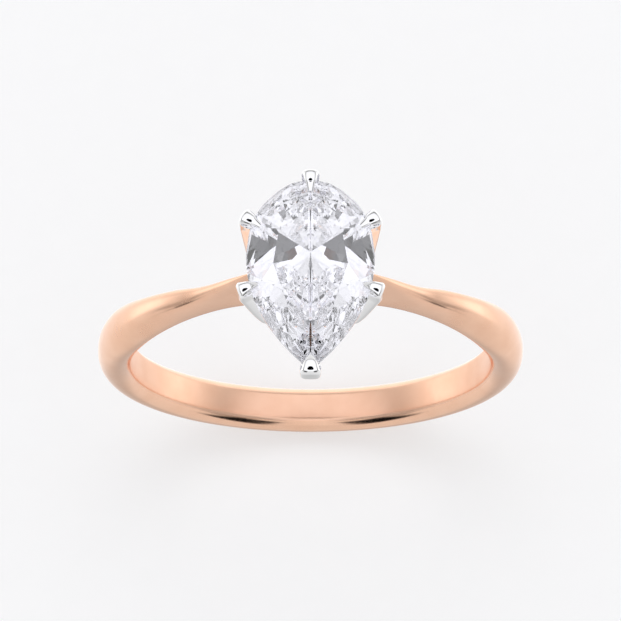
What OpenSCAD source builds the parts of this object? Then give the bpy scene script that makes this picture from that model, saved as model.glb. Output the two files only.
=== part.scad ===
// Two-tone pear solitaire engagement ring.
// Millimetres. Origin at the centre of the finger bore, Y along the finger,
// +Z up through the stone, the point of the pear towards -Y.

/* [Finger size] */
// Radius of the finger bore
bore_r = 8.25; // [7:0.25:10.5]

/* [Band] */
// Thickness of the band at the bottom of the ring
band_t_bottom = 1.65; // [1.2:0.05:2.4]
// Thickness of the band at the sides of the ring
band_t_side = 1.52; // [1.2:0.05:2.4]
// Widest measure of the band along the finger
band_w = 2.12; // [1.6:0.02:3]
// Widest measure of the band at the sides of the ring
band_w_side = 2.17; // [1.6:0.02:3]
// Width of the flat part inside the band
band_flat_w = 1.26; // [0.8:0.02:2]
// Width of the flat part at the sides of the ring
band_flat_w_side = 1.46; // [0.8:0.02:2]
// Width of the band where it meets the head
neck_w = 0.72; // [0.6:0.02:1.2]
// Angle from the top at which the band starts to narrow
pinch_from = 72; // [55:1:85]
// Angle from the top at which the band is fully narrowed
pinch_to = 22; // [16:1:30]
// How far the ridge of each shoulder climbs above the band at the head
sweep_rise = 1.75; // [0.5:0.05:2.4]
// Number of stations round the band
band_steps = 120; // [72:12:160]

/* [Stone] */
// Width of the pear stone
stone_w = 5.37; // [4:0.01:7]
// Distance from the widest line to the round end
stone_head_l = 3.30; // [2:0.01:4]
// Distance from the widest line to the point
stone_wing_l = 5.05; // [4:0.01:7]
// Roundness of the wings
wing_power = 2.2; // [1.8:0.05:3]
// Height of the girdle above the centre of the bore
girdle_z = 13.2; // [12:0.05:15]
// Thickness of the girdle
girdle_t = 0.10; // [0.05:0.01:0.3]
// Height of the crown
crown_h = 0.70; // [0.5:0.01:1.2]
// Depth of the pavilion
pavilion_d = 2.16; // [1.8:0.01:3]
// Size of the table as a share of the outline
table_share = 0.57; // [0.5:0.01:0.68]
// Where the culet sits along the finger
culet_y = 0.34; // [-0.5:0.01:1]

/* [Head] */
// Size of the lower rail as a share of the stone
lower_share = 0.62; // [0.5:0.01:0.75]
// Size of the upper rail as a share of the stone
upper_share = 0.885; // [0.8:0.005:0.95]
// Wall of the rails
rail_wall = 0.50; // [0.4:0.01:0.8]
// Level of the bottom of the head
head_z = 8.95; // [8.8:0.05:9.6]
// Height of the lower rail
lower_rail_h = 0.65; // [0.4:0.05:1]
// Level of the bottom of the upper rail
upper_rail_z = 11.75; // [11:0.05:12.5]
// Height of the upper rail
upper_rail_h = 0.60; // [0.4:0.05:1]
// Width of a claw
claw_w = 0.68; // [0.5:0.02:1]
// Depth of a claw stem
claw_d = 0.66; // [0.5:0.02:1]

/* [Hidden] */
widest_y = 0.05;
basket_y = -0.70;
upper_rail_y = 0.33;
half_w = stone_w / 2;
outline_n = 24;
claw_n = 16;
zt = girdle_z + girdle_t / 2;
zb = girdle_z - girdle_t / 2;
neck_rise = sweep_rise;

function clamp01(t) = min(1, max(0, t));
function smooth(t) = let (c = clamp01(t)) c * c * (3 - 2 * c);
function mix(a, b, k) = a + (b - a) * k;
function lookin(x, t, i = 0) =
    x <= t[0][0] ? t[0][1] :
    i >= len(t) - 1 ? t[len(t) - 1][1] :
    x <= t[i + 1][0] ? mix(t[i][1], t[i + 1][1], (x - t[i][0]) / (t[i + 1][0] - t[i][0])) :
    lookin(x, t, i + 1);

// ---------- band ----------
// s is the angle from the top of the ring
function pinch(s) = smooth((pinch_from - s) / (pinch_from - pinch_to));
function crest_t(s) =
    mix(band_t_side, band_t_bottom, smooth((s - 90) / 90))
    + 0.10 * smooth((75 - s) / 35)
    + neck_rise * pow(clamp01((34 - s) / 23), 1.9);
function ridge_half(s) = min(0.46, max(0.07, 0.09 + (s - 15) * 0.0165));
function court_half(j, s) =
    let (q = smooth((s - 95) / 75), w = mix(band_w_side, band_w, q) / 2,
         f = mix(band_flat_w_side, band_flat_w, q) / 2)
    j == 0 ? [f * 0.55, -0.22] :
    j == 1 ? [f - 0.05, -0.20] :
    j <= 6 ? let (a = 14 + (j - 2) * 19) [f + (w - f) * (1 - pow(cos(a), 1.15)), 0.42 * (1 - pow(sin(90 - a), 0.80)) + 0.006] :
    let (a = (j - 6) * 90 / 7) [w * pow(cos(a), 0.92), mix(0.44, 1, pow(sin(a), 0.95))];
function neck_half(j, s) =
    let (w = neck_w / 2, a = ridge_half(s))
    j == 0 ? [w * 0.35, -0.22] :
    j == 1 ? [w - 0.17, -0.20] :
    j <= 4 ? let (q = (j - 2) / 2) [w - 0.10 + 0.10 * q, 0.006 + 0.05 * q * q] :
    j <= 11 ? let (q = (j - 4) / 7) [mix(w, a, q), mix(0.056, 0.955, q)] :
    j == 12 ? [a * 0.72, 0.99] : [0, 1];
function band_half(j, s) =
    let (k = pinch(s), c = court_half(j, s), n = neck_half(j, s),
         y = mix(c[0], n[0], k), h = mix(c[1], n[1], k))
    [y, bore_r + (j < 2 ? h : h * crest_t(s))];
band_m = 27;
function band_pt(i, j) =
    let (a = 360 * i / band_steps, s = abs(a - 180),
         p = j <= 13 ? band_half(j, s) : band_half(26 - j, s),
         y = j <= 13 ? -p[0] : p[0])
    [p[1] * sin(a), y, -p[1] * cos(a)];
band_pts = [for (i = [0:band_steps - 1]) for (j = [0:band_m - 1]) band_pt(i, j)];
band_faces = [for (i = [0:band_steps - 1]) for (j = [0:band_m - 1])
    let (a = i * band_m + j, b = i * band_m + (j + 1) % band_m,
         c = ((i + 1) % band_steps) * band_m + (j + 1) % band_m,
         d = ((i + 1) % band_steps) * band_m + j)
    each [[a, c, b], [a, d, c]]];

// ---------- pear outline ----------
function head_pt(t, g = 0) = [(half_w + g) * cos(t), widest_y + (stone_head_l + g) * sin(t)];
function wing_pt(v, sx, g = 0) =
    [sx * (half_w + g) * (1 - pow(v, wing_power)), widest_y - (stone_wing_l + g * 1.3) * v];
function pear(n, g = 0) = concat(
    [for (i = [0:2 * n - 1]) head_pt(180 * i / (2 * n), g)],
    [for (i = [0:n - 1]) wing_pt(sin(90 * i / n), -1, g)],
    [for (i = [0:n - 1]) wing_pt(cos(90 * i / n), 1, g)]);
function scaled(pts, k, cy) = [for (p = pts) [p[0] * k, cy + (p[1] - cy) * k]];

// ---------- stone ----------
gr = 0.075;
tip_v = 1;
main_pts = [head_pt(90, gr), head_pt(34, gr), wing_pt(0.153, 1, gr), wing_pt(0.554, 1, gr),
            wing_pt(1, 1, gr), wing_pt(0.554, -1, gr), wing_pt(0.153, -1, gr), head_pt(146, gr)];
half_pts = [head_pt(73, gr), head_pt(28, gr), wing_pt(0.274, 1, gr), wing_pt(0.841, 1, gr),
            wing_pt(0.841, -1, gr), wing_pt(0.274, -1, gr), head_pt(152, gr), head_pt(107, gr)];
function unit(v) = v / norm(v);
function tangent(i) =
    let (a = half_pts[(i + 7) % 8], b = half_pts[i], d = unit(b - a)) [d[0], d[1], 0];
table_cy = -0.40;
function g_top(i) = [main_pts[i][0], main_pts[i][1], zt];
function g_bot(i) = [main_pts[i][0], main_pts[i][1], zb];
function t_pt(i) = let (p = main_pts[i]) [p[0] * table_share, table_cy + (p[1] - table_cy) * table_share, zt + crown_h];
culet = [0, culet_y, zb - pavilion_d];
function solve2(a, b, c, d, e, f) = let (q = a * d - b * c) [(e * d - b * f) / q, (a * f - e * c) / q];
function meet(n1, p1, n2, p2, z) =
    let (r = solve2(n1[0], n1[1], n2[0], n2[1], n1 * p1 - n1[2] * z, n2 * p2 - n2[2] * z)) [r[0], r[1], z];
function crown_n(i) = cross(tangent(i), t_pt(i) - g_top(i));
function pav_n(i) = cross(tangent(i), culet - g_bot(i));
function m_pt(i) = meet(crown_n(i), g_top(i), crown_n((i + 1) % 8), g_top((i + 1) % 8), zt + crown_h * 0.62);
function n_pt(i) = meet(pav_n(i), g_bot(i), pav_n((i + 1) % 8), g_bot((i + 1) % 8), zb - pavilion_d * 0.815);
stone_pts = concat([for (i = [0:7]) t_pt(i)], [for (i = [0:7]) m_pt(i)],
    [for (i = [0:7]) g_top(i)], [for (i = [0:7]) [half_pts[i][0], half_pts[i][1], zt]],
    [for (i = [0:7]) g_bot(i)], [for (i = [0:7]) [half_pts[i][0], half_pts[i][1], zb]],
    [for (i = [0:7]) n_pt(i)], [culet]);
stone_faces = concat([[0, 1, 2, 3, 4, 5, 6, 7]],
    [for (i = [0:7]) let (k = (i + 1) % 8) [i, 8 + i, k]],
    [for (i = [0:7]) let (k = (i + 7) % 8) [i, 8 + k, 16 + i, 8 + i]],
    [for (i = [0:7]) [8 + i, 16 + i, 24 + i]],
    [for (i = [0:7]) let (k = (i + 1) % 8) [8 + i, 24 + i, 16 + k]],
    [for (i = [0:7]) [16 + i, 32 + i, 40 + i, 24 + i]],
    [for (i = [0:7]) let (k = (i + 1) % 8) [24 + i, 40 + i, 32 + k, 16 + k]],
    [for (i = [0:7]) [48 + i, 40 + i, 32 + i]],
    [for (i = [0:7]) let (k = (i + 1) % 8) [48 + i, 32 + k, 40 + i]],
    [for (i = [0:7]) let (k = (i + 7) % 8) [32 + i, 48 + k, 56, 48 + i]]);
module cut_stone() {
    intersection() {
        polyhedron(points = stone_pts, faces = stone_faces, convexity = 2);
        translate([0, 0, zb - pavilion_d - 1])
            linear_extrude(height = pavilion_d + crown_h + girdle_t + 2) polygon(pear(outline_n));
    }
}

// ---------- rails ----------
module rail(k, cy, z, h) {
    translate([0, 0, z]) linear_extrude(height = h) difference() {
        polygon(scaled(pear(outline_n), k, cy));
        polygon(scaled(pear(outline_n), k - rail_wall / half_w, cy));
    }
}
module lower_ring() { rail(lower_share, basket_y, head_z, lower_rail_h); }
module upper_ring() { rail(upper_share, upper_rail_y, upper_rail_z, upper_rail_h); }

// ---------- claws ----------
// each row: foot x, foot y, seat x, seat y, direction, width factor, stem bow
claw_round = [0, 1.86, 0, 3.30, 90, 1.06, 0.55];
claw_ul = [-2.04, 0.90, -2.50, 1.47, 148.6, 1.05, 0.32];
claw_ll = [-1.62, -1.24, -2.613, -1.511, 202, 1.0, 0.58];
claw_point = [0, -3.38, 0, -4.83, 270, 1.22, 0.70];
stem_n = 9;
// talon: outer line (out from the seat, level), the way that it faces, half depth, half width, squareness
talon = [[0.445, -0.35, 0, 0.345, 0.340, 0.55], [0.450, 0.05, 0, 0.350, 0.360, 0.58],
         [0.448, 0.25, 10, 0.345, 0.368, 0.66], [0.430, 0.38, 28, 0.330, 0.362, 0.76],
         [0.392, 0.470, 50, 0.300, 0.350, 0.84], [0.335, 0.520, 66, 0.275, 0.335, 0.88],
         [0.250, 0.548, 76, 0.250, 0.310, 0.90], [0.130, 0.562, 86, 0.225, 0.285, 0.90],
         [-0.020, 0.556, 98, 0.195, 0.255, 0.90], [-0.120, 0.537, 107, 0.175, 0.230, 0.90],
         [-0.180, 0.512, 114, 0.155, 0.205, 0.90], [-0.320, 0.437, 119, 0.120, 0.165, 0.90],
         [-0.490, 0.340, 121, 0.080, 0.110, 0.90], [-0.680, 0.228, 122, 0.030, 0.035, 0.90]];
function ring_pt(a, e) =
    let (c = cos(a), s = sin(a),
         x = (c < 0 ? -1 : 1) * pow(abs(c), e))
    [x, (s < 0 ? -1 : 1) * pow(abs(s), e) * (0.96 + 0.13 * x)];
function section(cx, cy, cz, dir, tilt, hd, hw, e = 0.55) =
    let (u = [cos(dir), sin(dir), 0], v = [-sin(dir), cos(dir), 0],
         d = [u[0] * cos(tilt), u[1] * cos(tilt), sin(tilt)])
    [for (k = [0:claw_n - 1]) let (q = ring_pt(360 * k / claw_n, e))
        [cx, cy, cz] + d * (hd * q[0]) + v * (hw * q[1])];
function stem_station(c, i) =
    let (u = [cos(c[4]), sin(c[4])], t = i / stem_n,
         f = pow(t, c[6]) * (1 - 0.12 * (1 - t)),
         top = [c[2], c[3]] + u * 0.10,
         z = mix(head_z, girdle_z - 0.35, t))
    section(mix(c[0], top[0], f), mix(c[1], top[1], f), z, c[4], 0,
        mix(claw_d / 2 * 0.92, claw_d / 2, t), mix(claw_w / 2 * 0.90, claw_w / 2, t) * mix(1, c[5], t));
function talon_station(c, i) =
    let (u = [cos(c[4]), sin(c[4])], t = talon[i],
         o = t[0] - t[3] * cos(t[2]), h = t[1] - t[3] * sin(t[2]))
    section(c[2] + u[0] * o, c[3] + u[1] * o, girdle_z + h, c[4], t[2], t[3], t[4] * c[5] * (claw_w / 0.68), t[5]);
function claw_pts(c) = concat(
    [for (i = [0:stem_n - 1]) each stem_station(c, i)],
    [for (i = [0:len(talon) - 1]) each talon_station(c, i)]);
claw_rows = stem_n + len(talon);
claw_faces = concat(
    [[for (k = [0:claw_n - 1]) k]],
    [[for (k = [0:claw_n - 1]) (claw_rows - 1) * claw_n + claw_n - 1 - k]],
    [for (i = [0:claw_rows - 2]) for (k = [0:claw_n - 1])
        let (a = i * claw_n + k, b = i * claw_n + (k + 1) % claw_n,
             c = (i + 1) * claw_n + (k + 1) % claw_n, d = (i + 1) * claw_n + k)
        each [[a, d, c], [a, c, b]]]);
module claw(c) {
    difference() {
        polyhedron(points = claw_pts(c), faces = claw_faces, convexity = 6);
        cut_stone();
        lower_ring();
        upper_ring();
    }
}

// ---------- nodes ----------
module shank() {
    color([0.91, 0.70, 0.58]) difference() {
        polyhedron(points = band_pts, faces = band_faces, convexity = 6);
        rotate([90, 0, 0]) cylinder(r = bore_r, h = 6, center = true, $fn = 180);
        hull() {
            translate([0, 0, head_z]) linear_extrude(height = lower_rail_h)
                polygon(scaled(pear(outline_n), lower_share, basket_y));
            translate([0, 0, upper_rail_z]) linear_extrude(height = upper_rail_h)
                polygon(scaled(pear(outline_n), upper_share, upper_rail_y));
        }
    }
}
module lower_rail() { color([0.86, 0.86, 0.87]) lower_ring(); }
module upper_rail() { color([0.86, 0.86, 0.87]) difference() { upper_ring(); cut_stone(); } }
module stone() { color([0.84, 0.90, 0.97]) cut_stone(); }
module round_end_claw() { color([0.86, 0.86, 0.87]) claw(claw_round); }
module upper_left_claw() { color([0.86, 0.86, 0.87]) claw(claw_ul); }
module upper_right_claw() { color([0.86, 0.86, 0.87]) mirror([1, 0, 0]) claw(claw_ul); }
module lower_left_claw() { color([0.86, 0.86, 0.87]) claw(claw_ll); }
module lower_right_claw() { color([0.86, 0.86, 0.87]) mirror([1, 0, 0]) claw(claw_ll); }
module point_claw() { color([0.86, 0.86, 0.87]) claw(claw_point); }

shank();
lower_rail();
upper_rail();
stone();
round_end_claw();
upper_left_claw();
upper_right_claw();
lower_left_claw();
lower_right_claw();
point_claw();
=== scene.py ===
import math

import bmesh
import bpy
import numpy as np
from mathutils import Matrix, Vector


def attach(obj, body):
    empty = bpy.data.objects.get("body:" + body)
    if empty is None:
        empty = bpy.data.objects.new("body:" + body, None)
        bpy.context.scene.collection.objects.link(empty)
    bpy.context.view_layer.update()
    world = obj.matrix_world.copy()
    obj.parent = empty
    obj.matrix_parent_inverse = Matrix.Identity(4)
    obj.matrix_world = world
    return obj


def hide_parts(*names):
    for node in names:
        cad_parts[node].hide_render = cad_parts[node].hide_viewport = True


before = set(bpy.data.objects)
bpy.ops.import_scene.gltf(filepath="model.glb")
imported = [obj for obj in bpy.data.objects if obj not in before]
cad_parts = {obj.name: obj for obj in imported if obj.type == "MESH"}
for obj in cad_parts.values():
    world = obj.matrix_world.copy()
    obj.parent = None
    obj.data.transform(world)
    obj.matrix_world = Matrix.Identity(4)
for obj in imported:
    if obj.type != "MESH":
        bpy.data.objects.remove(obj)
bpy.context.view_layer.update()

MM = 0.001
scene = bpy.context.scene

# ---------------------------------------------------------------- sizes, in mm
BORE = 8.25
T_BOTTOM, T_SIDE = 1.65, 1.52
W_BOTTOM, W_SIDE = 2.12, 2.17
FLAT_BOTTOM, FLAT_SIDE = 1.26, 1.46
NECK_W, PINCH_FROM, PINCH_TO, RISE = 0.72, 72.0, 22.0, 1.75

STONE_W, HEAD_L, WING_L, WING_POWER = 5.37, 3.30, 5.05, 2.2
GIRDLE_Z, GIRDLE_T, CROWN_H, PAVILION_D = 13.2, 0.10, 0.70, 2.16
TABLE_SHARE, TABLE_CY, CULET_Y, WIDEST_Y = 0.57, -0.40, 0.34, 0.05
UPPER_RAIL_Y = 0.33
HALF_W = STONE_W / 2
ZT, ZB = GIRDLE_Z + GIRDLE_T / 2, GIRDLE_Z - GIRDLE_T / 2

LOWER_SHARE, UPPER_SHARE, RAIL_WALL = 0.62, 0.885, 0.50
BASKET_Y, HEAD_Z, LOWER_H, UPPER_Z, UPPER_H = -0.70, 8.95, 0.65, 11.75, 0.60
CLAW_W, CLAW_D = 0.68, 0.66
FLOOR_Z = -9.90


def clamp01(t):
    return min(1.0, max(0.0, t))


def smooth(t):
    c = clamp01(t)
    return c * c * (3 - 2 * c)


def mix(a, b, k):
    return a + (b - a) * k


def sgn_pow(v, e):
    return math.copysign(abs(v) ** e, v)


# ------------------------------------------------------------------ mesh tools
def new_object(name, verts, faces, scale=MM):
    me = bpy.data.meshes.new(name)
    me.from_pydata([tuple(float(c) * scale for c in v) for v in verts], [], faces)
    me.update()
    ob = bpy.data.objects.new(name, me)
    scene.collection.objects.link(ob)
    return ob


def tidy(ob, merge=2e-8):
    bm = bmesh.new()
    bm.from_mesh(ob.data)
    bmesh.ops.remove_doubles(bm, verts=bm.verts[:], dist=merge)
    bmesh.ops.dissolve_degenerate(bm, dist=merge, edges=bm.edges[:])
    loose = [v for v in bm.verts if not v.link_faces]
    bmesh.ops.delete(bm, geom=loose, context="VERTS")
    bmesh.ops.recalc_face_normals(bm, faces=bm.faces[:])
    bm.to_mesh(ob.data)
    bm.free()


def triangulate(ob):
    bm = bmesh.new()
    bm.from_mesh(ob.data)
    bmesh.ops.triangulate(bm, faces=bm.faces[:])
    bm.to_mesh(ob.data)
    bm.free()


def shade(ob, angle=32.0):
    for p in ob.data.polygons:
        p.use_smooth = True
    ob.data.set_sharp_from_angle(angle=math.radians(angle))


def volume(me):
    bm = bmesh.new()
    bm.from_mesh(me)
    v = bm.calc_volume()
    bm.free()
    return v


def apply_boolean(ob, cutter, least=0.55, self_cut=False):
    """Cut, and try again with the cutter moved by a fraction of a micron if the result isn't a sound solid."""
    whole = volume(ob.data)
    for dx, dy, dz in ((0, 0, 0), (3, 2, 1), (-3, 4, 2), (5, -4, 3), (-6, -5, 4), (2, 7, -5)):
        cutter.location = (dx * 1e-7, dy * 1e-7, dz * 1e-7)
        m = ob.modifiers.new("cut", "BOOLEAN")
        m.operation = "DIFFERENCE"
        m.solver = "EXACT"
        m.use_self = self_cut
        m.object = cutter
        bpy.context.view_layer.update()
        deps = bpy.context.evaluated_depsgraph_get()
        done = bpy.data.meshes.new_from_object(ob.evaluated_get(deps))
        ob.modifiers.clear()
        if least * whole < volume(done) < 1.01 * whole:
            break
        bpy.data.meshes.remove(done)
    else:
        raise RuntimeError("no sound cut for " + ob.name)
    cutter.location = (0, 0, 0)
    old = ob.data
    ob.data = done
    bpy.data.meshes.remove(old)


def drop(ob):
    me = ob.data
    bpy.data.objects.remove(ob)
    bpy.data.meshes.remove(me)


def tube_faces(rows, n, closed_rows=False, caps=True):
    faces = []
    for i in range(rows if closed_rows else rows - 1):
        a0, b0 = i * n, ((i + 1) % rows) * n
        for k in range(n):
            k2 = (k + 1) % n
            faces.append((a0 + k, a0 + k2, b0 + k2, b0 + k))
    if caps and not closed_rows:
        faces.append(tuple(reversed(range(n))))
        faces.append(tuple((rows - 1) * n + k for k in range(n)))
    return faces


# ------------------------------------------------------------------- the shank
def pinch(s):
    return smooth((PINCH_FROM - s) / (PINCH_FROM - PINCH_TO))


def crest_t(s):
    return (mix(T_SIDE, T_BOTTOM, smooth((s - 90) / 90)) + 0.10 * smooth((75 - s) / 35)
            + RISE * clamp01((34 - s) / 23) ** 1.9)


def ridge_half(s):
    return min(0.46, max(0.07, 0.09 + (s - 15) * 0.0165))


def inner_profile():
    """From the middle of the bore to the widest point, as widths and shares of the height. The bore is very
    slightly crowned, turns sharply at its edge, and the lip then runs out in a slow curve."""
    turn = ((0.0, 0.0), (0.30, 1.5), (0.55, 6.0), (0.60, 22.0), (0.64, 41.0), (0.88, 57.0), (1.10, 70.0), (1.50, 90.0))
    s_at, t_at = [p[0] for p in turn], [p[1] for p in turn]
    fine = np.linspace(0, 1.5, 1501)
    th = np.radians(np.interp(fine, s_at, t_at))
    y = np.concatenate([[0], np.cumsum(np.cos(th[:-1])) * 0.001])
    h = np.concatenate([[0], np.cumsum(np.sin(th[:-1])) * 0.001])
    at = np.array([0.0, 0.20, 0.38, 0.50, 0.545, 0.57, 0.595, 0.617, 0.64, 0.67, 0.71, 0.76, 0.82, 0.90, 1.0, 1.12,
                   1.25, 1.38, 1.50])
    yy, hh = np.interp(at, fine, y), np.interp(at, fine, h)
    return yy, hh / hh[-1], np.interp(0.62, fine, y)


PROF_Y, PROF_H, PROF_F = inner_profile()
N_IN, N_OUT = len(PROF_Y), 18


def court_half(j, s):
    q = smooth((s - 95) / 75)
    w, f = mix(W_SIDE, W_BOTTOM, q) / 2, mix(FLAT_SIDE, FLAT_BOTTOM, q) / 2
    if j < N_IN:
        y = PROF_Y[j]
        y = y * f / PROF_F if y <= PROF_F else f + (y - PROF_F) * (w - f) / (PROF_Y[-1] - PROF_F)
        return y, 0.44 * PROF_H[j]
    a = math.radians(90 * (j - N_IN + 1) / N_OUT)
    return w * max(0.0, math.cos(a)) ** 0.92, mix(0.44, 1, max(0.0, math.sin(a)) ** 0.95)


def neck_half(j, s):
    w, a = NECK_W / 2, ridge_half(s)
    if j < N_IN:
        t = PROF_Y[j] / PROF_Y[-1]
        return w * min(1.0, t * 1.02) if t < 0.98 else w, 0.10 * PROF_H[j] ** 1.3
    q = (j - N_IN + 1) / N_OUT
    if q <= 0.72:
        q /= 0.72
        return mix(w, a, q), mix(0.10, 0.95, q)
    t = math.radians(90 * (q - 0.72) / 0.28)
    return a * max(0.0, math.cos(t)), 0.95 + 0.05 * math.sin(t)


def band_half(j, s):
    k = pinch(s)
    c, n = court_half(j, s), neck_half(j, s)
    y, h = mix(c[0], n[0], k), mix(c[1], n[1], k)
    return y, BORE + h * crest_t(s)


def build_shank():
    last = N_IN + N_OUT - 1
    full = [(j, -1) for j in range(last + 1)] + [(j, 1) for j in range(last - 1, 0, -1)]
    n, rows = len(full), 720
    verts = []
    for i in range(rows):
        a = 360 * i / rows
        s = abs(a - 180)
        ar = math.radians(a)
        loop = np.array([(side * band_half(j, s)[0], band_half(j, s)[1]) for j, side in full])
        # round the shoulders' edges off, away from the bore and its lip
        outer = loop[N_IN - 4:n - N_IN + 5].copy()
        left = 26 * pinch(s) * smooth((s - 17) / 16)
        while left > 0:
            k = min(1.0, left)
            outer[1:-1] = outer[1:-1] * (1 - 0.5 * k) + (outer[:-2] + outer[2:]) * 0.25 * k
            left -= 1
        loop[N_IN - 4:n - N_IN + 5] = outer
        for y, r in loop:
            verts.append((r * math.sin(ar), y, -r * math.cos(ar)))
    ob = new_object("shank_polished", verts, tube_faces(rows, n, closed_rows=True))
    tidy(ob)
    # the room for the head, between the outlines of the two rails
    low = scaled(pear(24), LOWER_SHARE, BASKET_Y)
    high = scaled(pear(24), UPPER_SHARE, UPPER_RAIL_Y)
    bm = bmesh.new()
    for pts, z, h in ((low, HEAD_Z, LOWER_H), (high, UPPER_Z, UPPER_H)):
        for p in pts:
            bm.verts.new((p[0] * MM, p[1] * MM, z * MM))
            bm.verts.new((p[0] * MM, p[1] * MM, (z + h) * MM))
    hull = bmesh.ops.convex_hull(bm, input=bm.verts[:])
    inner = list({v for v in hull["geom_interior"] + hull["geom_unused"] if isinstance(v, bmesh.types.BMVert)})
    bmesh.ops.delete(bm, geom=inner, context="VERTS")
    me = bpy.data.meshes.new("room")
    bm.to_mesh(me)
    bm.free()
    room = bpy.data.objects.new("room", me)
    scene.collection.objects.link(room)
    apply_boolean(ob, room)
    drop(room)
    tidy(ob, 1e-8)
    shade(ob, 34)
    return ob


# ------------------------------------------------------------- the pear outline
def head_pt(t, g=0.0):
    r = math.radians(t)
    return (HALF_W + g) * math.cos(r), WIDEST_Y + (HEAD_L + g) * math.sin(r)


def wing_pt(v, sx, g=0.0):
    return sx * (HALF_W + g) * (1 - v ** WING_POWER), WIDEST_Y - (WING_L + g * 1.3) * v


def pear(n, g=0.0):
    return ([head_pt(180 * i / (2 * n), g) for i in range(2 * n)]
            + [wing_pt(math.sin(math.radians(90 * i / n)), -1, g) for i in range(n)]
            + [wing_pt(math.cos(math.radians(90 * i / n)), 1, g) for i in range(n)])


def scaled(pts, k, cy):
    return [(p[0] * k, cy + (p[1] - cy) * k) for p in pts]


# ------------------------------------------------------------------- the stone
GR = 0.075
MAIN = [head_pt(90, GR), head_pt(34, GR), wing_pt(0.153, 1, GR), wing_pt(0.554, 1, GR),
        wing_pt(1, 1, GR), wing_pt(0.554, -1, GR), wing_pt(0.153, -1, GR), head_pt(146, GR)]
HALF = [head_pt(73, GR), head_pt(28, GR), wing_pt(0.274, 1, GR), wing_pt(0.841, 1, GR),
        wing_pt(0.841, -1, GR), wing_pt(0.274, -1, GR), head_pt(152, GR), head_pt(107, GR)]


def v3(*a):
    return np.array(a, dtype=float)


def stone_planes():
    """A point and an outward normal for every facet above and below the girdle."""
    culet = v3(0, CULET_Y, ZB - PAVILION_D)
    centre = v3(0, CULET_Y, GIRDLE_Z)
    top = [v3(p[0], p[1], ZT) for p in MAIN]
    bot = [v3(p[0], p[1], ZB) for p in MAIN]
    tab = [v3(p[0] * TABLE_SHARE, TABLE_CY + (p[1] - TABLE_CY) * TABLE_SHARE, ZT + CROWN_H) for p in MAIN]
    hp_t = [v3(p[0], p[1], ZT) for p in HALF]
    hp_b = [v3(p[0], p[1], ZB) for p in HALF]

    def tangent(i):
        d = v3(HALF[i][0], HALF[i][1], 0) - v3(HALF[(i + 7) % 8][0], HALF[(i + 7) % 8][1], 0)
        return d / np.linalg.norm(d)

    cn = [np.cross(tangent(i), tab[i] - top[i]) for i in range(8)]
    pn = [np.cross(tangent(i), culet - bot[i]) for i in range(8)]

    def meet(n1, p1, n2, p2, z):
        m = np.array([[n1[0], n1[1]], [n2[0], n2[1]]])
        r = np.linalg.solve(m, [n1 @ p1 - n1[2] * z, n2 @ p2 - n2[2] * z])
        return v3(r[0], r[1], z)

    mp = [meet(cn[i], top[i], cn[(i + 1) % 8], top[(i + 1) % 8], ZT + CROWN_H * 0.62) for i in range(8)]
    np_ = [meet(pn[i], bot[i], pn[(i + 1) % 8], bot[(i + 1) % 8], ZB - PAVILION_D * 0.815) for i in range(8)]
    out = []

    def plane(a, b, c):
        n = np.cross(b - a, c - a)
        n /= np.linalg.norm(n)
        if n @ (a - centre) < 0:
            n = -n
        out.append((a, n))

    out.append((tab[0], v3(0, 0, 1)))
    for i in range(8):
        k, b = (i + 1) % 8, (i + 7) % 8
        plane(tab[i], mp[b], top[i])
        plane(tab[i], mp[i], tab[k])
        plane(mp[i], top[i], hp_t[i])
        plane(mp[i], hp_t[i], top[k])
        plane(bot[i], np_[b], culet)
        plane(np_[i], hp_b[i], bot[i])
        plane(np_[i], bot[k], hp_b[i])
    return out


def cut_stone(name, grow=0.0, n=60):
    """The cut stone: a pear prism trimmed by its facet planes. grow moves every surface out."""
    outline = pear(n, grow)
    z0, z1 = ZB - PAVILION_D - 1, ZT + CROWN_H + 1
    m = len(outline)
    verts = [(p[0], p[1], z0) for p in outline] + [(p[0], p[1], z1) for p in outline]
    bm = bmesh.new()
    vs = [bm.verts.new(v) for v in verts]
    bm.faces.new(vs[:m][::-1])
    bm.faces.new(vs[m:])
    for k in range(m):
        k2 = (k + 1) % m
        bm.faces.new((vs[k], vs[k2], vs[m + k2], vs[m + k]))
    bmesh.ops.recalc_face_normals(bm, faces=bm.faces[:])
    for p, nrm in stone_planes():
        q = p + nrm * grow
        r = bmesh.ops.bisect_plane(bm, geom=bm.verts[:] + bm.edges[:] + bm.faces[:], dist=1e-6,
                                   plane_co=Vector(q), plane_no=Vector(nrm), clear_outer=True)
        edges = [e for e in r["geom_cut"] if isinstance(e, bmesh.types.BMEdge)]
        rim = [e for e in edges if e.is_valid and len(e.link_faces) == 1]
        if len(rim) > 2:
            bmesh.ops.contextual_create(bm, geom=rim)
    bmesh.ops.remove_doubles(bm, verts=bm.verts[:], dist=2e-5)
    bmesh.ops.recalc_face_normals(bm, faces=bm.faces[:])
    bmesh.ops.scale(bm, vec=(MM, MM, MM), verts=bm.verts[:])
    me = bpy.data.meshes.new(name)
    bm.to_mesh(me)
    bm.free()
    for p in me.polygons:
        p.use_smooth = False
    ob = bpy.data.objects.new(name, me)
    scene.collection.objects.link(ob)
    return ob


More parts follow.
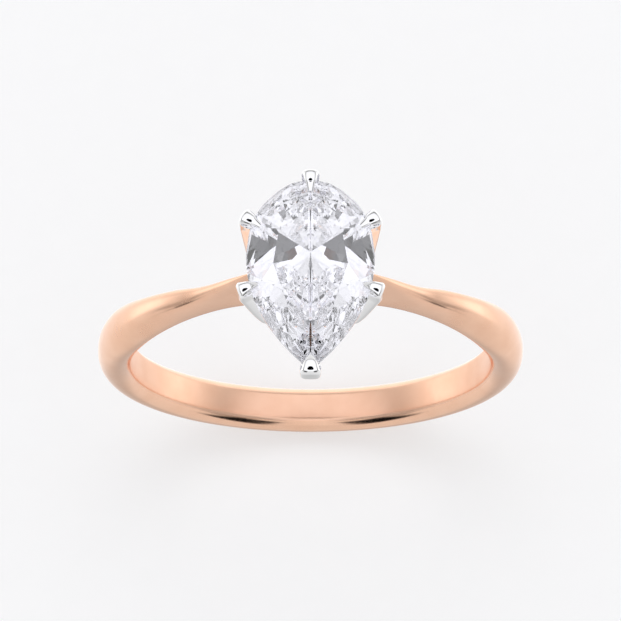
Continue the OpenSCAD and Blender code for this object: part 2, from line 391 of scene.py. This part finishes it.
# -------------------------------------------------------------------- the rails
def build_rail(name, share, cy, z, h, cutter=None, r=0.13):
    n_out = 60
    base = pear(n_out)
    k1, k0 = share, share - RAIL_WALL / HALF_W
    prof = []
    for cx, cz, a0 in ((k1, z + h, 0), (k0, z + h, 90), (k0, z, 180), (k1, z, 270)):
        sx = -1 if cx == k1 else 1
        sz = -1 if cz == z + h else 1
        for t in range(6):
            a = math.radians(a0 + 90 * t / 5)
            prof.append((cx + sx * r / HALF_W + math.cos(a) * r / HALF_W, cz + sz * r + math.sin(a) * r))
    m = len(prof)
    verts = [(p[0] * k, cy + (p[1] - cy) * k, zz) for p in base for k, zz in prof]
    ob = new_object(name, verts, tube_faces(len(base), m, closed_rows=True))
    tidy(ob)
    if cutter:
        apply_boolean(ob, cutter)
        tidy(ob, 1e-8)
    shade(ob, 34)
    return ob


# -------------------------------------------------------------------- the claws
CLAW_ROUND = (0, 1.86, 0, 3.30, 90, 1.06, 0.55)
CLAW_UPPER = (-2.04, 0.90, -2.50, 1.47, 148.6, 1.05, 0.32)
CLAW_LOWER = (-1.62, -1.24, -2.613, -1.511, 202, 1.0, 0.58)
CLAW_POINT = (0, -3.38, 0, -4.83, 270, 1.22, 0.70)
STEM_N = 9
# talon: its outer line (out, level), the way that it faces, half depth, half width, squareness
TALON = [(0.445, -0.35, 0, 0.345, 0.340, 0.55), (0.450, 0.05, 0, 0.350, 0.360, 0.58),
         (0.448, 0.25, 10, 0.345, 0.368, 0.66), (0.430, 0.38, 28, 0.330, 0.362, 0.76),
         (0.392, 0.470, 50, 0.300, 0.350, 0.84), (0.335, 0.520, 66, 0.275, 0.335, 0.88),
         (0.250, 0.548, 76, 0.250, 0.310, 0.90), (0.130, 0.562, 86, 0.225, 0.285, 0.90),
         (-0.020, 0.556, 98, 0.195, 0.255, 0.90), (-0.120, 0.537, 107, 0.175, 0.230, 0.90),
         (-0.180, 0.512, 114, 0.155, 0.205, 0.90), (-0.320, 0.437, 119, 0.120, 0.165, 0.90),
         (-0.490, 0.340, 121, 0.080, 0.110, 0.90), (-0.680, 0.228, 122, 0.030, 0.035, 0.90)]


def claw_stations(c):
    """Each station: centre x, y, z, tilt, half depth, half width, squareness."""
    ux, uy = math.cos(math.radians(c[4])), math.sin(math.radians(c[4]))
    rows = []
    for i in range(STEM_N):
        t = i / STEM_N
        f = t ** c[6] * (1 - 0.12 * (1 - t)) if t > 0 else 0.0
        tx, ty = c[2] + ux * 0.10, c[3] + uy * 0.10
        rows.append((mix(c[0], tx, f), mix(c[1], ty, f), mix(HEAD_Z, GIRDLE_Z - 0.35, t), 0.0,
                     mix(CLAW_D / 2 * 0.92, CLAW_D / 2, t), mix(CLAW_W / 2 * 0.90, CLAW_W / 2, t) * mix(1, c[5], t),
                     0.55))
    for t in TALON:
        tr = math.radians(t[2])
        o, h = t[0] - t[3] * math.cos(tr), t[1] - t[3] * math.sin(tr)
        rows.append((c[2] + ux * o, c[3] + uy * o, GIRDLE_Z + h, float(t[2]), t[3],
                     t[4] * c[5] * (CLAW_W / 0.68), t[5]))
    return rows


def spline_rows(rows, per=5):
    """Catmull-Rom through the stations, held between each pair of neighbours."""
    p = np.array(rows)
    out = []
    for i in range(len(p) - 1):
        a, b, c, d = p[max(0, i - 1)], p[i], p[i + 1], p[min(len(p) - 1, i + 2)]
        for s in range(per):
            t = s / per
            q = 0.5 * ((2 * b) + (-a + c) * t + (2 * a - 5 * b + 4 * c - d) * t * t + (-a + 3 * b - 3 * c + d) * t ** 3)
            out.append(np.clip(q, np.minimum(b, c), np.maximum(b, c)))
    out.append(p[-1])
    return out


def build_claw(name, c, cutter, mirrored=False, n=40):
    rows = spline_rows(claw_stations(c))
    cd, sd = math.cos(math.radians(c[4])), math.sin(math.radians(c[4]))
    verts = []
    for r in rows:
        ring = []
        for k in range(n):
            a = 2 * math.pi * k / n
            x = sgn_pow(math.cos(a), r[6])
            ring.append((x, sgn_pow(math.sin(a), r[6]) * (0.96 + 0.13 * x)))
        ct, st = math.cos(math.radians(r[3])), math.sin(math.radians(r[3]))
        d = (cd * ct, sd * ct, st)
        v = (-sd, cd, 0)
        for q in ring:
            verts.append(tuple(r[i] + d[i] * r[4] * q[0] + v[i] * r[5] * q[1] for i in range(3)))
    if mirrored:
        verts = [(-x, y, z) for x, y, z in verts]
    ob = new_object(name, verts, tube_faces(len(rows), n))
    tidy(ob)
    triangulate(ob)
    apply_boolean(ob, cutter, self_cut=True)
    tidy(ob, 1e-8)
    shade(ob, 40)
    return ob


# ---------------------------------------------------------------- node helpers
class Tree:
    """Short names for building node trees."""

    def __init__(self, nt):
        self.nt = nt

    def node(self, kind, **props):
        n = self.nt.nodes.new(kind)
        for k, v in props.items():
            setattr(n, k, v)
        return n

    def put(self, socket, value):
        if isinstance(value, bpy.types.NodeSocket):
            self.nt.links.new(value, socket)
        else:
            socket.default_value = value

    def math(self, op, a, b=None, c=None, clamp=False):
        n = self.node("ShaderNodeMath", operation=op, use_clamp=clamp)
        for i, v in enumerate((a, b, c)):
            if v is not None:
                self.put(n.inputs[i], v)
        return n.outputs[0]

    def step(self, value, lo, hi):
        """0 at lo, 1 at hi, smooth between; lo may be the larger."""
        n = self.node("ShaderNodeMapRange", interpolation_type="SMOOTHSTEP")
        self.put(n.inputs["Value"], value)
        if lo < hi:
            a, b, c, d = lo, hi, 0.0, 1.0
        else:
            a, b, c, d = hi, lo, 1.0, 0.0
        for name, v in (("From Min", a), ("From Max", b), ("To Min", c), ("To Max", d)):
            n.inputs[name].default_value = v
        return n.outputs["Result"]

    def colour(self, fac, a, b):
        n = self.node("ShaderNodeMix", data_type="RGBA")
        self.put(n.inputs["Factor"], fac)
        ins = [s for s in n.inputs if s.type == "RGBA"]
        self.put(ins[0], a)
        self.put(ins[1], b)
        return [s for s in n.outputs if s.type == "RGBA"][0]

    def noise(self, vec, scale, detail=3.0, rough=0.5):
        n = self.node("ShaderNodeTexNoise")
        self.put(n.inputs["Vector"], vec)
        n.inputs["Scale"].default_value = scale
        n.inputs["Detail"].default_value = detail
        n.inputs["Roughness"].default_value = rough
        return n.outputs["Fac"]


def rgba(r, g, b):
    return (r, g, b, 1.0)


def new_material(name):
    m = bpy.data.materials.new(name)
    m.use_nodes = True
    m.node_tree.nodes.clear()
    t = Tree(m.node_tree)
    out = t.node("ShaderNodeOutputMaterial")
    bsdf = t.node("ShaderNodeBsdfPrincipled")
    m.node_tree.links.new(bsdf.outputs[0], out.inputs["Surface"])
    return m, t, bsdf


def polished_metal(name, base, deep, rough, scratch_axis, wave=0.00002, satin_bore=0.0):
    """Polished metal: slow waves from the buffing wheel, hairline scratches, and wear that dulls the surface in places."""
    m, t, b = new_material(name)
    co = t.node("ShaderNodeTexCoord").outputs["Object"]
    stretch = t.node("ShaderNodeMapping")
    t.put(stretch.inputs["Vector"], co)
    stretch.inputs["Scale"].default_value = scratch_axis
    hair = t.noise(stretch.outputs[0], 9000.0, 2.0, 0.6)
    slow = t.noise(co, 260.0, 2.0, 0.45)
    patch = t.noise(co, 900.0, 3.0, 0.55)
    t.put(b.inputs["Base Color"], t.colour(t.step(patch, 0.30, 0.75), base, deep))
    b.inputs["Metallic"].default_value = 1.0
    r = t.math("MULTIPLY_ADD", patch, rough * 0.9, rough * 0.35)
    r = t.math("MULTIPLY_ADD", hair, rough * 0.5, r)
    if satin_bore:  # the inside of the band is finished finer than satin, not mirror-polished
        sep = t.node("ShaderNodeSeparateXYZ")
        t.put(sep.inputs[0], co)
        rad = t.math("SQRT", t.math("ADD", t.math("POWER", sep.outputs["X"], 2.0), t.math("POWER", sep.outputs["Z"], 2.0)))
        inside = t.step(rad, (BORE + 0.12) * MM, (BORE + 0.05) * MM)
        r = t.math("MULTIPLY_ADD", inside, satin_bore, r)
        # the pinched shoulders are harder to reach with the wheel than the round of the band
        r = t.math("MULTIPLY_ADD", t.step(sep.outputs["Z"], 0.0005, 0.005), 0.09, r)
    t.put(b.inputs["Roughness"], r)
    fine = t.node("ShaderNodeBump")
    fine.inputs["Strength"].default_value = 0.05
    fine.inputs["Distance"].default_value = 0.000004
    t.put(fine.inputs["Height"], hair)
    bump = t.node("ShaderNodeBump")
    bump.inputs["Strength"].default_value = 0.25
    bump.inputs["Distance"].default_value = wave
    t.put(bump.inputs["Height"], slow)
    t.put(bump.inputs["Normal"], fine.outputs[0])
    t.put(b.inputs["Normal"], bump.outputs[0])
    return m


def diamond_material():
    """Clear stone: faint body tint that drifts, and a fine-ground girdle."""
    m, t, b = new_material("diamond_clear")
    co = t.node("ShaderNodeTexCoord").outputs["Object"]
    drift = t.noise(co, 420.0, 2.0, 0.5)
    t.put(b.inputs["Base Color"], t.colour(drift, rgba(0.925, 0.925, 1.0), rgba(0.96, 0.96, 1.0)))
    sep = t.node("ShaderNodeSeparateXYZ")
    t.put(sep.inputs[0], co)
    off = t.math("ABSOLUTE", t.math("SUBTRACT", sep.outputs["Z"], GIRDLE_Z * MM))
    girdle = t.step(off, GIRDLE_T / 2 * MM * 1.05, GIRDLE_T / 2 * MM * 0.9)
    grind = t.noise(co, 60000.0, 2.0, 0.6)
    t.put(b.inputs["Roughness"], t.math("MULTIPLY", girdle, t.math("MULTIPLY_ADD", grind, 0.2, 0.12)))
    b.inputs["IOR"].default_value = 2.417
    b.inputs["Transmission Weight"].default_value = 1.0
    b.inputs["Metallic"].default_value = 0.0
    return m


# -------------------------------------------------------------------- the world
LENS_EL, LENS_R = 80.0, 18.0
LENS = Vector((0.0, -math.cos(math.radians(LENS_EL)), math.sin(math.radians(LENS_EL))))


def build_world():
    """A soft light tent: an overhead panel with a hole for the lens, a dark frame round it, bright side
    panels low down, and a dark gap in front on each side of the middle."""
    w = bpy.data.worlds.new("studio")
    scene.world = w
    w.use_nodes = True
    w.node_tree.nodes.clear()
    t = Tree(w.node_tree)
    co = t.node("ShaderNodeTexCoord").outputs["Generated"]
    nrm = t.node("ShaderNodeVectorMath", operation="NORMALIZE")
    t.put(nrm.inputs[0], co)
    d = nrm.outputs["Vector"]
    sep = t.node("ShaderNodeSeparateXYZ")
    t.put(sep.inputs[0], d)
    x, y, z = sep.outputs
    mul = lambda *v: v[0] if len(v) == 1 else t.math("MULTIPLY", v[0], mul(*v[1:]))

    def angle_from(v):
        dot = t.node("ShaderNodeVectorMath", operation="DOT_PRODUCT")
        t.put(dot.inputs[0], d)
        dot.inputs[1].default_value = tuple(Vector(v).normalized())
        return mul(t.math("ARCCOSINE", t.math("MINIMUM", t.math("MAXIMUM", dot.outputs["Value"], -1.0), 1.0)),
                   180 / math.pi)

    el = mul(t.math("ARCSINE", z), 180 / math.pi)
    az = t.math("ABSOLUTE", mul(t.math("ARCTAN2", x, mul(y, -1.0)), 180 / math.pi))  # 0 = front, 180 = back

    def box(v, a, b, c, e):
        return mul(t.step(v, a, b), t.step(v, e, c))

    # how bright each way round is, below and above the horizon
    ramp = t.node("ShaderNodeFloatCurve")
    c = ramp.mapping.curves[0]
    pts = [(0, .80), (60, .91), (90, .98), (120, 1.08), (150, 1.25), (180, 1.35)]
    c.points[0].location, c.points[1].location = (0, pts[0][1] / 2), (1, pts[-1][1] / 2)
    for a, v in pts[1:-1]:
        c.points.new(a / 180, v / 2)
    ramp.mapping.update()
    t.put(ramp.inputs["Value"], t.math("DIVIDE", az, 180.0))
    below = mul(ramp.outputs[0], 2.0)
    # painted shadow: straight below the ring the world is made a little darker, standing in for the ring's contact
    # shadow on the floor as the metal sees it reflected
    painted_contact_shadow = mul(t.step(angle_from((0.0, -0.10, -1.0)), 30.0, 12.0), 0.26)
    below = mul(below, t.math("SUBTRACT", 1.0, painted_contact_shadow))
    above = t.math("ADD", 0.90, mul(t.step(el, 30.0, 40.0), 0.26))
    value = t.node("ShaderNodeMix", data_type="FLOAT")
    t.put(value.inputs["Factor"], t.step(el, -4.0, 4.0))
    fl = [s_ for s_ in value.inputs if s_.type == "VALUE" and s_.name in "AB"]
    t.put(fl[0], below)
    t.put(fl[1], above)
    light = value.outputs["Result"]
    # bright side panels
    light = t.math("ADD", light, mul(box(az, 88.0, 100.0, 112.0, 128.0), box(el, -26.0, -12.0, 4.0, 16.0), 0.50))
    # dark parts
    lens = t.step(angle_from(LENS), LENS_R + 0.8, LENS_R - 0.8)
    frame_gap = mul(box(el, 26.5, 27.5, 35.5, 36.5), 0.95, t.step(az, 8.0, 30.0))
    frame_gap = mul(frame_gap, t.math("SUBTRACT", 1.0, mul(box(az, 100.0, 112.0, 140.0, 155.0), 0.5)))
    front = box(az, 11.0, 14.0, 32.0, 42.0)
    front = mul(front, box(el, -14.0, -9.0, 16.0, 22.0))
    flank = mul(box(az, 22.0, 34.0, 70.0, 88.0), box(el, 0.0, 5.0, 16.0, 26.0), 0.50)
    back = mul(t.step(az, 92.0, 108.0), box(el, 10.0, 22.0, 40.0, 60.0), 0.13)
    frame_gap = t.math("MAXIMUM", frame_gap, back)
    dark = t.math("MAXIMUM", t.math("MAXIMUM", lens, frame_gap), t.math("MAXIMUM", front, flank))
    light = mul(light, t.math("SUBTRACT", 1.0, dark))
    tint = t.colour(t.step(el, 20.0, 60.0), rgba(1.0, 1.0, 1.0), rgba(0.985, 0.99, 1.03))
    bg = t.node("ShaderNodeBackground")
    t.put(bg.inputs["Color"], tint)
    t.put(bg.inputs["Strength"], light)
    out = t.node("ShaderNodeOutputWorld")
    t.put(out.inputs["Surface"], bg.outputs[0])
    w.cycles.sampling_method = "MANUAL"
    w.cycles.sample_map_resolution = 1024


def area_light(name, place, target, size, power, colour=(1, 1, 1), size_y=None):
    data = bpy.data.lights.new(name, "AREA")
    data.shape = "RECTANGLE"
    data.size, data.size_y = size, size_y or size
    data.energy = power
    data.color = colour
    ob = bpy.data.objects.new(name, data)
    ob.location = place
    ob.rotation_euler = (Vector(target) - Vector(place)).to_track_quat("-Z", "Y").to_euler()
    scene.collection.objects.link(ob)
    return ob


def build_floor():
    n, half = 8, 1.5
    verts, faces = [], []
    for i in range(n + 1):
        for j in range(n + 1):
            verts.append((-half + 2 * half * i / n, -half + 2 * half * j / n, FLOOR_Z * MM))
    for i in range(n):
        for j in range(n):
            a = i * (n + 1) + j
            faces.append((a, a + n + 1, a + n + 2, a + 1))
    ob = new_object("studio_floor", verts, faces, scale=1.0)
    m, t, b = new_material("pale_board")
    co = t.node("ShaderNodeTexCoord").outputs["Object"]
    grain = t.noise(co, 700.0, 4.0, 0.5)
    t.put(b.inputs["Base Color"], t.colour(grain, rgba(0.475, 0.475, 0.478), rgba(0.495, 0.495, 0.498)))
    t.put(b.inputs["Roughness"], t.math("MULTIPLY_ADD", grain, 0.1, 0.75))
    b.inputs["Emission Color"].default_value = rgba(1, 1, 1)
    b.inputs["Emission Strength"].default_value = 0.50
    b.inputs["Specular IOR Level"].default_value = 0.1
    ob.data.materials.append(m)
    ob.visible_glossy = False
    return ob


# ------------------------------------------------------------------- build all
rose = polished_metal("rose_gold_polished", rgba(0.945, 0.60, 0.43), rgba(0.915, 0.565, 0.395), 0.15, (1.0, 0.12, 1.0), satin_bore=0.18)
white = polished_metal("white_gold_polished", rgba(0.92, 0.92, 0.925), rgba(0.89, 0.89, 0.90), 0.03, (1.0, 1.0, 0.15), 0.000012)
clear = diamond_material()


def place(ob, material, slot, *nodes):
    ob.data.materials.clear()
    ob.data.materials.append(material)
    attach(ob, "root")
    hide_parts(*nodes)


place(build_shank(), rose, "rose_gold", "shank")
stone = cut_stone("pear_stone")
notch = cut_stone("notch", grow=0.006, n=24)
place(stone, clear, "diamond", "stone")
place(build_rail("lower_rail_polished", LOWER_SHARE, BASKET_Y, HEAD_Z, LOWER_H), white, "white_gold", "lower_rail")
place(build_rail("upper_rail_polished", UPPER_SHARE, UPPER_RAIL_Y, UPPER_Z, UPPER_H, notch), white, "white_gold", "upper_rail")
for label, c, mirrored in (("round_end_claw", CLAW_ROUND, False), ("upper_left_claw", CLAW_UPPER, False),
                           ("upper_right_claw", CLAW_UPPER, True), ("lower_left_claw", CLAW_LOWER, False),
                           ("lower_right_claw", CLAW_LOWER, True), ("point_claw", CLAW_POINT, False)):
    place(build_claw(label + "_polished", c, notch, mirrored), white, "white_gold", label)
drop(notch)

build_world()
build_floor()
key = area_light("key_softbox", (0.0, 0.16, 0.27), (0, 0, 0), 0.16, 0.12)
key.visible_glossy = False
key.visible_transmission = False

cam_data = bpy.data.cameras.new("camera")
cam_data.sensor_width = 36.0
cam_data.lens = 2820.5 / 621 * 36.0
cam_data.clip_start = 0.002
cam_data.clip_end = 20.0
cam = bpy.data.objects.new("camera", cam_data)
cam.location = (0.0, -40.213 * MM, 123.640 * MM)
cam.rotation_euler = (math.asin(0.3239058), 0.0, 0.0)
scene.collection.objects.link(cam)
scene.camera = cam

scene.view_settings.view_transform = "Standard"
scene.view_settings.look = "None"
scene.cycles.max_bounces = 32
scene.cycles.glossy_bounces = 24
scene.cycles.transmission_bounces = 24
